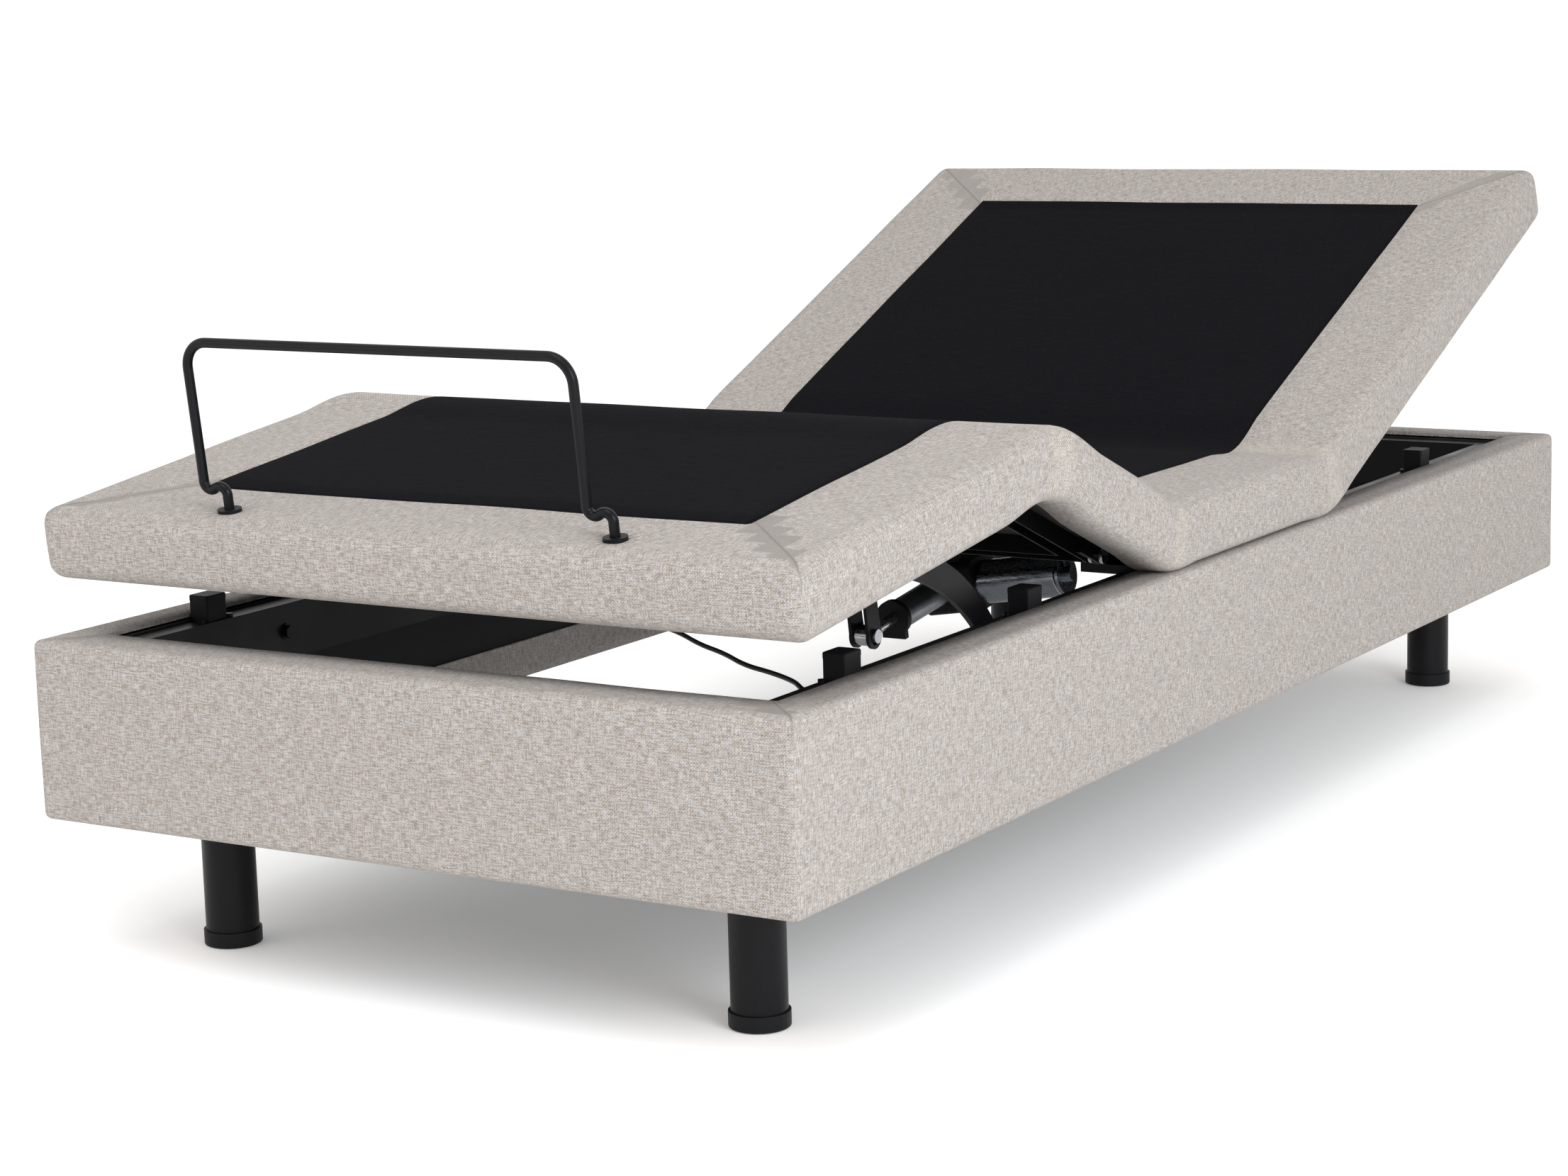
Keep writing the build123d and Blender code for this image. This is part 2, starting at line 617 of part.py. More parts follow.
def build_links():
    """Curved flat links from the side rails to the lower-leg frame, and their pivots on the rails."""
    tip_y, tip_z = turned(*LINK_TIP_FLAT, KNEE_Y, HINGE_Z, THIGH_ANGLE + CALF_SLOPE)
    tip_y, tip_z = turned(tip_y, tip_z, THIGH_Y, HINGE_Z, -THIGH_ANGLE)
    base_y, base_z = LINK_BASE
    length = math.hypot(tip_y - base_y, tip_z - base_z)
    angle = math.degrees(math.atan2(tip_z - base_z, tip_y - base_y))
    half = 15
    bow = 18
    top = ThreePointArc((0, -half), (length / 2, -half - bow), (length, -half))
    bottom = ThreePointArc((0, half), (length / 2, half - bow), (length, half))
    ends = [Line((0, -half), (0, half)), Line((length, -half), (length, half))]
    outline = make_face(Wire([top, ends[1], bottom, ends[0]]))
    # The outline lies along Y; its minus side is the upper edge once the link points to the foot.
    along_y = Plane(origin=(LINK_X[0], base_y, base_z), x_dir=(0, math.cos(math.radians(angle)),
                    math.sin(math.radians(angle))), z_dir=(1, 0, 0))
    arm = extrude(along_y * outline, LINK_X[1] - LINK_X[0], dir=(1, 0, 0))
    base_eye = rod_x(*LINK_X, base_y, base_z, half)
    tip_eye = rod_x(*LINK_X, tip_y, tip_z, half)
    stud = rod_x(FRAME_HALF - 3, LINK_X[0], tip_y, tip_z, LINK_PIN)
    link = fused([arm, base_eye, tip_eye, stud])
    link -= rod_x(LINK_X[0] - 1, LINK_X[1] + 1, base_y, base_z, LINK_PIN + RUNNING)
    pivot = fused([
        rod_x(LINK_X[0] - 0.5, RAIL_IN_X, base_y, base_z, LINK_PIN),
        rod_x(LINK_X[0] - 4, LINK_X[0] - 0.5, base_y, base_z, 10),
        rod_x(LINK_X[1] + 0.5, RAIL_IN_X, base_y, base_z, 9),
    ])
    save("calf_link_right", link)
    save("calf_link_left", mirror(link, about=Plane.YZ))
    save("link_pivots", both_sides(pivot))
    print(f"link: length {length:.1f}, angle from +Y {angle:.2f}, tip {tip_y:.1f} {tip_z:.1f}")


def build_actuator(name, pivot, pin, cap_end, rod_start, roll, turn):
    """One linear actuator, built along +Y from its rear pivot and then placed. The motor lies to -X."""
    reach = math.hypot(pin[1] - pivot[1], pin[2] - pivot[2])
    pitch = math.degrees(math.asin((pin[2] - pivot[2]) / reach))
    place = Pos(*pivot) * Rot(0, 0, turn) * Rot(pitch, 0, 0)
    rolled = Rot(0, roll, 0)
    motor_y = 52
    lug = fused([rod_x(-LUG_HALF, LUG_HALF, 0, 0, 12), block(-LUG_HALF, LUG_HALF, 0, 24, -12, 12)])
    lug -= rod_x(-LUG_HALF - 1, LUG_HALF + 1, 0, 0, PIN_RADIUS + RUNNING)
    case = block(-44, 26, 22, 82, -34, 28)
    case = fillet(case.edges().filter_by(Axis.X), 12)
    neck = rod_y(80, 90, 0, 0, 22)
    gearbox = fused([rolled * case, lug, neck]) - rod_y(60, 91, 0, 0, 15)
    save(f"{name}_gearbox", gearbox, place)
    can = fillet(rod_x(-150, -44, motor_y, -4, 26).edges().sort_by(Axis.X)[0], 2)
    plate = rod_x(-154, -150, motor_y, -4, 24)
    boss = rod_x(-162, -154, motor_y, -4, 9)
    save(f"{name}_motor", fused([can, plate, boss]), place * rolled)
    lead, _ = swept_rod(MOTOR_LEAD, route_radii(MOTOR_LEAD), LEAD_RADIUS)
    save(f"{name}_lead", lead, place * rolled)
    tube = rod_y(90, cap_end - 8, 0, 0, TUBE_RADIUS) - rod_y(89, cap_end, 0, 0, TUBE_RADIUS - 2.5)
    save(f"{name}_outer_tube", tube, place)
    collar = rod_y(cap_end - 8, cap_end, 0, 0, 21)
    skirt = block(-15, 15, cap_end - 8, cap_end, -24, 0)
    cap = fused([collar, skirt]) - rod_y(cap_end - 9, cap_end + 1, 0, 0, ROD_RADIUS + 0.08)
    save(f"{name}_end_cap", cap, place)
    eye = rod_x(-FORK_INNER, FORK_INNER, reach, 0, 12) - rod_x(-9, 9, reach, 0, PIN_RADIUS)
    rod = fused([rod_y(rod_start, reach - 8, 0, 0, ROD_RADIUS), eye])
    rod -= rod_x(-9, 9, reach, 0, PIN_RADIUS)
    save(f"{name}_rod", rod, place)
    half = FORK_INNER + 1 + EAR + 1
    rod_pin = fused([
        rod_x(-half - 3, half + 3, reach, 0, PIN_RADIUS),
        rod_x(half, half + 3, reach, 0, 8), rod_x(-half - 3, -half, reach, 0, 8),
    ])
    save(f"{name}_rod_pin", rod_pin, place)
    print(f"{name}: reach {reach:.2f}, pitch {pitch:.3f}")


def pivot_pin(pivot):
    """The headed pin of an actuator's rear pivot."""
    x, y, z = pivot
    half = FORK_INNER + EAR
    return fused([
        rod_x(x - half - 3, x + half + 3, y, z, PIN_RADIUS),
        rod_x(x + half, x + half + 3, y, z, 8), rod_x(x - half - 3, x - half, y, z, 8),
    ])


def build_actuators():
    build_actuator("foot_actuator", FOOT_PIVOT, FOOT_PIN, FOOT_CAP_END, FOOT_ROD_START, FOOT_ROLL, 180)
    build_actuator("head_actuator", HEAD_PIVOT, HEAD_PIN, HEAD_CAP_END, HEAD_ROD_START, 0, 0)
    save("actuator_pivot_pins", [pivot_pin(FOOT_PIVOT), pivot_pin(HEAD_PIVOT)])


# ---------------------------------------------------------------- control box and cable


def build_control():
    box = block(*BOX_X, *BOX_Y, *BOX_Z)
    box = fillet(box.edges().filter_by(Axis.Z), 6)
    box = chamfer(box.faces().sort_by(Axis.Z)[0].edges(), 2)
    save("control_box", box)
    x, y, z = CABLE_EXIT
    gland = fused([rod_y(y, BOX_Y[0], x, z, 5), rod_y(BOX_Y[0] - 3, BOX_Y[0], x, z, 7)])
    end_x, end_y, end_z = CABLE_END
    grommet = fused([
        rod_x(end_x, RAIL_IN_X, end_y, end_z, 7.5),
        rod_x(RAIL_IN_X, RAIL_IN_X + RAIL_WALL, end_y, end_z, 5),
    ])
    save("cable_glands", [gland, grommet])
    radii = route_radii(CABLE_ROUTE)
    cable, length = swept_rod(CABLE_ROUTE, radii, CABLE_RADIUS)
    save("handset_cable", cable)
    area = math.pi * CABLE_RADIUS**2
    print("cable radii:", [round(r) for r in radii])
    print(f"cable length {length:.1f}, volume {cable.volume:.0f}, section times length {area * length:.0f}")


build_box()
build_rails()
build_bolts()
build_legs()
build_seat()
build_back()
build_thigh()
build_calf()
build_retainer_bar()
build_links()
build_actuators()
build_control()
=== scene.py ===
import json
import math

import bmesh
import bpy
import numpy as np
from mathutils import Matrix, Vector


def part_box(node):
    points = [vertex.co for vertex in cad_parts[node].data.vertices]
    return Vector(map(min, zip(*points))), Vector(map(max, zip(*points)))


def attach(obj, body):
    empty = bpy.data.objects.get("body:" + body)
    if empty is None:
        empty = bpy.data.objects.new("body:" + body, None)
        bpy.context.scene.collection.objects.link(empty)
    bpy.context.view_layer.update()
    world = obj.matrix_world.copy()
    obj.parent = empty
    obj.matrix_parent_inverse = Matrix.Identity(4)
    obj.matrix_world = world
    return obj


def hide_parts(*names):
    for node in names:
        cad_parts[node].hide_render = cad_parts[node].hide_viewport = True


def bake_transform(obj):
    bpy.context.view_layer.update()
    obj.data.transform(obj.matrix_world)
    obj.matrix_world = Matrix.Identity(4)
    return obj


# Looks of the adjustable bed base: one padded cover over the four platform sections, the cover of the
# upholstered box, and a material for every hard part. Metres, in the frame of the CAD model.

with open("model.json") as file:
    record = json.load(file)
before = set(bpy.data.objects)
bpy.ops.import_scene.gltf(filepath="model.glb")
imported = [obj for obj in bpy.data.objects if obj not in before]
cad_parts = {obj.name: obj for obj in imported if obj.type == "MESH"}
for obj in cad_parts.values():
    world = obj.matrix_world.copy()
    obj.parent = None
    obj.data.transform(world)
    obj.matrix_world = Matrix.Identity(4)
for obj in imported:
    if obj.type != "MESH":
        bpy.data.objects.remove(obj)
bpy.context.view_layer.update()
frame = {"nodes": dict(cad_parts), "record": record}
NODES = frame["nodes"]
JOINTS = {joint["name"]: joint for joint in frame["record"]["behaviour"]["joints"]}

# ---------------------------------------------------------------- places read from the frame

HALF_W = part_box("base_upholstery")[1][0]
HALF_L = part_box("base_upholstery")[1][1]
BOX_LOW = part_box("base_upholstery")[0][2]
BOX_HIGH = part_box("base_upholstery")[1][2]
RIM_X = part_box("rail_right")[1][0]
RIM_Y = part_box("rail_head")[1][1]
HEM_CLOTH = 0.004  # cloth on the inner face of the boards
HEM_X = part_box("side_panel_right")[0][0] - HEM_CLOTH
HEM_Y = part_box("head_panel")[0][1] - HEM_CLOTH
HEM_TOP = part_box("corner_blocks")[1][2]
PAD_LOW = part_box("seat_pad")[0][2]
PAD_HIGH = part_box("seat_pad")[1][2]
BACK_HINGE = Vector(JOINTS["back_lift"]["pos_m"])
THIGH_HINGE = Vector(JOINTS["thigh_lift"]["pos_m"])
KNEE_AT_REST = Vector(JOINTS["knee_bend"]["pos_m"])
BACK_ANGLE = -math.radians(JOINTS["back_lift"]["range_deg"][0])
THIGH_ANGLE = -math.radians(JOINTS["thigh_lift"]["range_deg"][0])
KNEE_PER_THIGH = 30 / 23  # how far the knee turns for each degree at the thigh hinge
KNEE_ANGLE = THIGH_ANGLE * KNEE_PER_THIGH
THIGH_LENGTH = (KNEE_AT_REST - THIGH_HINGE).length
KNEE_HINGE = THIGH_HINGE - Vector((0, THIGH_LENGTH, 0))

POCKET_X = 0.404  # recess under the platform
POCKET_Y = 0.954
POCKET_TOP = PAD_LOW + 0.030
FELT_X = 0.326  # half the size of the felt panel
FELT_Y = 0.886
BAR_HOLE = Vector((0.229, -0.960, 0))
HOLE_HALF = 0.0084
HOLE_RING = 0.019
PAD_ROUND = 0.017
BOX_ROUND = 0.008
PAD_EDGE = (0.003, 0.007, 0.012, PAD_ROUND, PAD_ROUND + 0.003)  # grid lines this far in from an edge
BOX_EDGE = (0.002, 0.005, BOX_ROUND, BOX_ROUND + 0.0025)
TOUCH = 1e-6  # distance below which two places are the same
THREAD_PERIOD = 0.0034  # two threads of the plain weave
CABLE_DIAMETER = 0.005
FLOOR_GLOW = 0.15  # a light table under the object, as for a cut-out picture


# ---------------------------------------------------------------- shader helpers


class Shader:
    """A small wrapper that adds nodes to a material by name."""

    def __init__(self, name):
        self.material = bpy.data.materials.new(name)
        self.material.use_nodes = True
        self.tree = self.material.node_tree
        self.bsdf = self.tree.nodes["Principled BSDF"]

    def feed(self, socket, value):
        if hasattr(value, "is_output"):
            self.tree.links.new(value, socket)
        else:
            socket.default_value = value

    def math(self, operation, a, b=0.0, clamp=False):
        made = self.tree.nodes.new("ShaderNodeMath")
        made.operation = operation
        made.use_clamp = clamp
        self.feed(made.inputs[0], a)
        self.feed(made.inputs[1], b)
        return made.outputs[0]

    def mix(self, factor, a, b):
        made = self.tree.nodes.new("ShaderNodeMix")
        made.data_type = "RGBA"
        self.feed(made.inputs[0], factor)
        self.feed(made.inputs[6], a)
        self.feed(made.inputs[7], b)
        return made.outputs[2]

    def tint(self, body, amount, strength, colour):
        return self.mix(self.math("MULTIPLY", amount, strength), body, colour)

    def noise(self, vector, scale, detail=3.0, roughness=0.6):
        made = self.tree.nodes.new("ShaderNodeTexNoise")
        self.feed(made.inputs["Vector"], vector)
        made.inputs["Scale"].default_value = scale
        made.inputs["Detail"].default_value = detail
        made.inputs["Roughness"].default_value = roughness
        return made.outputs["Fac"]

    def scaled(self, vector, factors):
        made = self.tree.nodes.new("ShaderNodeVectorMath")
        made.operation = "MULTIPLY"
        self.feed(made.inputs[0], vector)
        made.inputs[1].default_value = factors
        return made.outputs[0]

    def ramp(self, value, low, high, start=0.0, end=1.0):
        made = self.tree.nodes.new("ShaderNodeMapRange")
        made.interpolation_type = "SMOOTHSTEP"
        self.feed(made.inputs["Value"], value)
        made.inputs["From Min"].default_value = low
        made.inputs["From Max"].default_value = high
        made.inputs["To Min"].default_value = start
        made.inputs["To Max"].default_value = end
        return made.outputs["Result"]

    def split(self, vector):
        made = self.tree.nodes.new("ShaderNodeSeparateXYZ")
        self.feed(made.inputs[0], vector)
        return made.outputs

    def bump(self, height, strength, distance):
        made = self.tree.nodes.new("ShaderNodeBump")
        made.inputs["Strength"].default_value = strength
        made.inputs["Distance"].default_value = distance
        self.feed(made.inputs["Height"], height)
        self.feed(self.bsdf.inputs["Normal"], made.outputs["Normal"])

    def set(self, **values):
        for key, value in values.items():
            self.feed(self.bsdf.inputs[key.replace("_", " ")], value)
        return self


def rgb(red, green, blue):
    return (red, green, blue, 1.0)


def attribute(shader, name):
    made = shader.tree.nodes.new("ShaderNodeAttribute")
    made.attribute_name = name
    return made.outputs["Vector"]


# ---------------------------------------------------------------- materials


def heather(s, cloth, weft, warp):
    """Mixed grey, cream, brown and blue-grey yarns with short bright and dark flecks."""
    grey = rgb(0.235, 0.216, 0.203)
    cream = rgb(0.470, 0.432, 0.400)
    tan = rgb(0.220, 0.155, 0.100)
    blue = rgb(0.520, 0.515, 0.540)
    bright = rgb(0.57, 0.555, 0.54)
    dark = rgb(0.150, 0.130, 0.118)
    shade = rgb(0.225, 0.200, 0.180)
    fleck = s.noise(s.scaled(cloth, (520.0, 900.0, 1.0)), 1.0, 2.0, 0.6)
    patch = s.noise(cloth, 34.0, 3.0, 0.6)
    body = s.mix(s.ramp(weft, 0.38, 0.60), grey, cream)
    body = s.tint(body, s.ramp(warp, 0.50, 0.64), 0.62, tan)
    body = s.tint(body, s.ramp(warp, 0.47, 0.35), 0.62, blue)
    body = s.tint(body, s.ramp(fleck, 0.56, 0.68), 0.45, bright)
    body = s.tint(body, s.ramp(fleck, 0.43, 0.32), 0.40, dark)
    return s.mix(s.ramp(patch, 0.35, 0.70, 0.0, 0.15), body, shade)


def plain_weave(s, cloth):
    """Crowns and gaps of the plain weave, from 1 to -1; its threads are about 1.7 mm apart."""
    x, y, _ = s.split(cloth)
    over = s.math("SINE", s.math("MULTIPLY", x, math.tau / THREAD_PERIOD))
    under = s.math("SINE", s.math("MULTIPLY", y, math.tau / THREAD_PERIOD))
    return s.math("MULTIPLY", over, under)


def mitre_seam(s, fx, fy, fz, top):
    """Seams that run in over the top from the corners at 45 degrees."""
    to_side = s.math("SUBTRACT", HALF_W, s.math("ABSOLUTE", fx))
    to_end = s.math("SUBTRACT", HALF_L, s.math("ABSOLUTE", fy))
    off_seam = s.math("ABSOLUTE", s.math("SUBTRACT", to_side, to_end))
    near_seam = s.ramp(off_seam, 0.0006, 0.0026, 1.0, 0.0)
    return s.math("MULTIPLY", near_seam, s.ramp(fz, top - 0.030, top - 0.002))


def linen(name, platform=False):
    """Heathered plain weave, drawn in the cloth's own lying-flat coordinates."""
    # Painted shade in the gaps between the threads.
    gap_shade = rgb(0.14, 0.12, 0.105)
    # Painted highlight on the crowns of the threads.
    crown_highlight = rgb(0.62, 0.61, 0.61)
    # Painted shade in the fold of the mitre seams.
    fold = rgb(0.17, 0.145, 0.12)
    stretched = rgb(0.60, 0.55, 0.45)
    s = Shader(name)
    cloth = attribute(s, "cloth")
    fx, fy, fz = s.split(attribute(s, "flat"))
    weft = s.noise(s.scaled(cloth, (88.0, 700.0, 1.0)), 1.0, 3.0, 0.75)
    warp = s.noise(s.scaled(cloth, (700.0, 88.0, 1.0)), 1.0, 3.0, 0.75)
    weave = plain_weave(s, cloth)
    body = heather(s, cloth, weft, warp)
    # Painted shade: the gaps of the weave are darkened.
    body = s.mix(s.ramp(weave, -0.9, 0.5, 0.22, 0.0), body, gap_shade)
    # Painted highlight: the crowns of the weave are lightened.
    body = s.mix(s.ramp(weave, 0.3, 1.0, 0.0, 0.16), body, crown_highlight)
    threads = s.math("ADD", s.math("MULTIPLY", weft, 0.3), s.math("MULTIPLY", warp, 0.3))
    height = s.math("ADD", s.math("MULTIPLY", weave, 0.30), threads)
    seam = mitre_seam(s, fx, fy, fz, PAD_HIGH if platform else BOX_HIGH)
    # Painted shade darkens the cloth along the groove of the mitre seams.
    body = s.tint(body, seam, 0.42, fold)
    height = s.math("SUBTRACT", height, s.math("MULTIPLY", seam, 2.0))
    if platform:
        # Over the hinges the cloth is stretched open, so it looks paler and its weave is more open.
        for hinge_y, reach in ((BACK_HINGE.y, 0.028), (THIGH_HINGE.y, 0.022), (KNEE_HINGE.y, 0.030)):
            away = s.math("ABSOLUTE", s.math("SUBTRACT", fy, hinge_y))
            near = s.ramp(away, reach * 0.3, reach, 1.0, 0.0)
            open_weave = s.math("MULTIPLY", near, s.ramp(weave, -0.2, 0.9))
            body = s.tint(body, open_weave, 0.55, stretched)
        for side in (-1, 1):
            height = s.math("ADD", height, s.math("MULTIPLY", pucker(s, fx, fy, side), 2.4))
    s.feed(s.bsdf.inputs["Base Color"], body)
    s.set(Roughness=0.95, Sheen_Weight=0.05, Sheen_Roughness=0.5, Specular_IOR_Level=0.12)
    s.bump(height, 0.6, 0.0009)
    return s.material


def pucker(s, fx, fy, side):
    """Radial folds of the cloth round one hole of the retainer bar."""
    dx = s.math("SUBTRACT", fx, side * BAR_HOLE.x)
    dy = s.math("SUBTRACT", fy, BAR_HOLE.y)
    near = s.math("SQRT", s.math("ADD", s.math("MULTIPLY", dx, dx), s.math("MULTIPLY", dy, dy)))
    fold = s.math("SINE", s.math("MULTIPLY", s.math("ARCTAN2", dy, dx), 13.0))
    return s.math("MULTIPLY", fold, s.ramp(near, 0.012, 0.042, 1.0, 0.0))


def felt(name):
    """Black needle felt: fuzz, fine creases, a few grey fibres and painted shade as a darker line along its
    seam.
    """
    s = Shader(name)
    cloth = attribute(s, "cloth")
    x, y, _ = s.split(attribute(s, "flat"))
    wool = s.noise(cloth, 900.0, 5.0, 0.75)
    speck = s.ramp(s.noise(cloth, 430.0, 2.0, 0.5), 0.64, 0.73)
    crease = s.noise(s.scaled(cloth, (26.0, 70.0, 1.0)), 1.0, 6.0, 0.62)
    inside = s.math(
        "MINIMUM",
        s.math("SUBTRACT", FELT_X, s.math("ABSOLUTE", x)),
        s.math("SUBTRACT", FELT_Y, s.math("ABSOLUTE", y)),
    )
    body = s.mix(s.ramp(wool, 0.3, 0.75), rgb(0.0015, 0.0015, 0.0022), rgb(0.0085, 0.0083, 0.0110))
    body = s.tint(body, speck, 0.4, rgb(0.045, 0.045, 0.048))
    # Painted shade along the sunken seam at the edge of the felt.
    body = s.mix(s.ramp(inside, 0.0, 0.003, 0.8, 0.0), body, rgb(0.002, 0.002, 0.002))
    s.feed(s.bsdf.inputs["Base Color"], body)
    s.set(Roughness=1.0, Sheen_Weight=0.0, Specular_IOR_Level=0.06)
    height = s.math("ADD", s.math("MULTIPLY", wool, 0.5), s.math("MULTIPLY", crease, 2.4))
    s.bump(height, 0.8, 0.0012)
    return s.material


def coated(name, colour, roughness=0.42, grain=900.0, bump=0.12):
    """Powder coat: fine orange peel, rubbed a little lighter in places."""
    s = Shader(name)
    place = s.tree.nodes.new("ShaderNodeTexCoord").outputs["Object"]
    fine = s.noise(place, grain, 3.0, 0.6)
    wide = s.noise(place, 9.0, 4.0, 0.6)
    lighter = tuple(min(1.0, c * 1.5 + 0.002) for c in colour[:3]) + (1.0,)
    s.feed(s.bsdf.inputs["Base Color"], s.mix(s.ramp(wide, 0.35, 0.8, 0.0, 0.5), colour, lighter))
    s.feed(s.bsdf.inputs["Roughness"], s.ramp(wide, 0.3, 0.7, roughness - 0.06, roughness + 0.08))
    s.set(Specular_IOR_Level=0.15)
    s.bump(fine, bump, 0.0004)
    return s.material


def metal(name, colour, roughness=0.3, stretch=(40.0, 900.0, 900.0)):
    """Plated or drawn metal with fine lines and a slightly cloudy plating."""
    s = Shader(name)
    place = s.tree.nodes.new("ShaderNodeTexCoord").outputs["Object"]
    lines = s.noise(s.scaled(place, stretch), 1.0, 3.0, 0.6)
    cloud = s.noise(place, 30.0, 4.0, 0.6)
    darker = tuple(c * 0.72 for c in colour[:3]) + (1.0,)
    s.feed(s.bsdf.inputs["Base Color"], s.mix(s.ramp(cloud, 0.35, 0.75), colour, darker))
    s.feed(s.bsdf.inputs["Roughness"], s.ramp(lines, 0.3, 0.7, roughness - 0.08, roughness + 0.1))
    s.set(Metallic=1.0)
    s.bump(lines, 0.08, 0.0002)
    return s.material


def board(name, colour, dark, stretch=(160.0, 7.0, 60.0)):
    """Wood: long grain with darker growth lines."""
    s = Shader(name)
    place = s.tree.nodes.new("ShaderNodeTexCoord").outputs["Object"]
    grain = s.noise(s.scaled(place, stretch), 1.0, 5.0, 0.65)
    flecks = s.noise(place, 380.0, 2.0, 0.5)
    body = s.mix(s.ramp(grain, 0.35, 0.68), colour, dark)
    s.feed(s.bsdf.inputs["Base Color"], s.mix(s.ramp(flecks, 0.6, 0.8, 0.0, 0.35), body, dark))
    s.set(Roughness=0.75)
    s.bump(grain, 0.2, 0.0005)
    return s.material


def black_cloth(name):
    """Thin non-woven cloth with pressed dots."""
    s = Shader(name)
    place = s.tree.nodes.new("ShaderNodeTexCoord").outputs["Object"]
    cells = s.tree.nodes.new("ShaderNodeTexVoronoi")
    s.feed(cells.inputs["Vector"], place)
    cells.inputs["Scale"].default_value = 480.0
    fibre = s.noise(place, 700.0, 4.0, 0.7)
    s.feed(s.bsdf.inputs["Base Color"], s.mix(fibre, rgb(0.006, 0.006, 0.007), rgb(0.026, 0.026, 0.028)))
    s.set(Roughness=0.85, Specular_IOR_Level=0.25)
    s.bump(cells.outputs["Distance"], 0.3, 0.0004)
    return s.material


def floor_material():
    s = Shader("floor_paint")
    place = s.tree.nodes.new("ShaderNodeTexCoord").outputs["Object"]
    cloud = s.noise(place, 0.6, 2.0, 0.5)
    s.feed(s.bsdf.inputs["Base Color"], s.mix(cloud, rgb(0.955, 0.955, 0.955), rgb(0.965, 0.965, 0.965)))
    s.set(Roughness=0.9, Specular_IOR_Level=0.2)
    s.set(Emission_Color=rgb(1.0, 1.0, 1.0), Emission_Strength=FLOOR_GLOW)
    return s.material


def dress_hard_parts():
    black = coated("black_coat", rgb(0.0035, 0.0035, 0.0045), 0.36)
    rail = coated("rail_coat", rgb(0.006, 0.006, 0.007), 0.34)
    bar = coated("bar_coat", rgb(0.004, 0.004, 0.005), 0.30, 1400.0, 0.06)
    plastic = coated("black_plastic", rgb(0.005, 0.005, 0.006), 0.5, 1800.0, 0.25)
    zinc = metal("zinc_plate", rgb(0.62, 0.64, 0.66), 0.30)
    case = metal("motor_case", rgb(0.30, 0.325, 0.355), 0.24)
    tube = metal("grey_tube", rgb(0.30, 0.31, 0.33), 0.38)
    steel = metal("bright_steel", rgb(0.68, 0.68, 0.70), 0.20)
    wood = board("softwood", rgb(0.60, 0.43, 0.25), rgb(0.42, 0.27, 0.14))
    chip = board("particle_board", rgb(0.50, 0.38, 0.25), rgb(0.33, 0.23, 0.14), (240.0, 240.0, 240.0))
    deck = board("deck_board", rgb(0.030, 0.026, 0.022), rgb(0.012, 0.010, 0.009), (90.0, 9.0, 40.0))
    cloth = black_cloth("lining_cloth")
    sheath = coated("lead_sheath", rgb(0.006, 0.006, 0.007), 0.42, 1500.0, 0.1)
    groups = [
        (black, "seat_brackets seat_frame back_frame thigh_frame calf_frame bar_sockets frame_bolts"),
        (black, "calf_link_left calf_link_right"),
        (black, "leg_foot_left leg_foot_right leg_head_left leg_head_right"),
        (rail, "rail_right rail_left rail_head rail_foot"),
        (bar, "retainer_bar"),
        (plastic, "rail_posts post_caps leg_caps control_box cable_glands bar_grommets"),
        (plastic, "foot_actuator_gearbox head_actuator_gearbox foot_actuator_end_cap head_actuator_end_cap"),
        (zinc, "back_hinge_pins thigh_hinge_pins knee_hinge_pins link_pivots actuator_pivot_pins"),
        (zinc, "foot_actuator_rod_pin head_actuator_rod_pin"),
        (case, "foot_actuator_motor head_actuator_motor"),
        (tube, "foot_actuator_outer_tube head_actuator_outer_tube"),
        (steel, "foot_actuator_rod head_actuator_rod"),
        (wood, "corner_blocks"),
        (chip, "side_panel_right side_panel_left head_panel foot_panel"),
        (deck, "seat_deck back_deck thigh_deck calf_deck rim_battens"),
        (cloth, "inner_lining"),
        (sheath, "foot_actuator_lead head_actuator_lead"),
    ]
    for material, names in groups:
        for name in names.split():
            slots = NODES[name].data.materials
            slots.clear()
            slots.append(material)


# ---------------------------------------------------------------- skins built from grid lines


class Skin:
    """Quads on the sides of boxes, joined where their corners meet."""

    def __init__(self):
        self.points = []
        self.faces = []
        self.known = {}

    def point(self, place):
        key = tuple(round(c, 6) for c in place)
        if key not in self.known:
            self.known[key] = len(self.points)
            self.points.append(Vector(place))
        return self.known[key]

    def sheet(self, axis, level, us, vs, flip, keep=None):
        """A flat grid at one level of an axis; keep says which cells stay."""
        for u0, u1 in zip(us, us[1:]):
            for v0, v1 in zip(vs, vs[1:]):
                if keep and not keep((u0 + u1) / 2, (v0 + v1) / 2):
                    continue
                corners = [(u0, v0), (u1, v0), (u1, v1), (u0, v1)]
                if axis == 0:
                    ring = [(level, u, v) for u, v in corners]
                elif axis == 1:
                    ring = [(u, level, v) for u, v in corners][::-1]
                else:
                    ring = [(u, v, level) for u, v in corners]
                face = [self.point(p) for p in ring]
                self.faces.append(face[::-1] if flip else face)


def lines(low, high, step, extra=()):
    """Grid lines from low to high about a step apart, with the extra ones put in."""
    stops = sorted({round(v, 6) for v in (low, high, *extra) if low <= v <= high})
    result = [stops[0]]
    for a, b in zip(stops, stops[1:]):
        count = max(1, round((b - a) / step))
        result += [a + (b - a) * (i + 1) / count for i in range(count)]
    return result


def both(values):
    return [sign * value for value in values for sign in (-1, 1)]


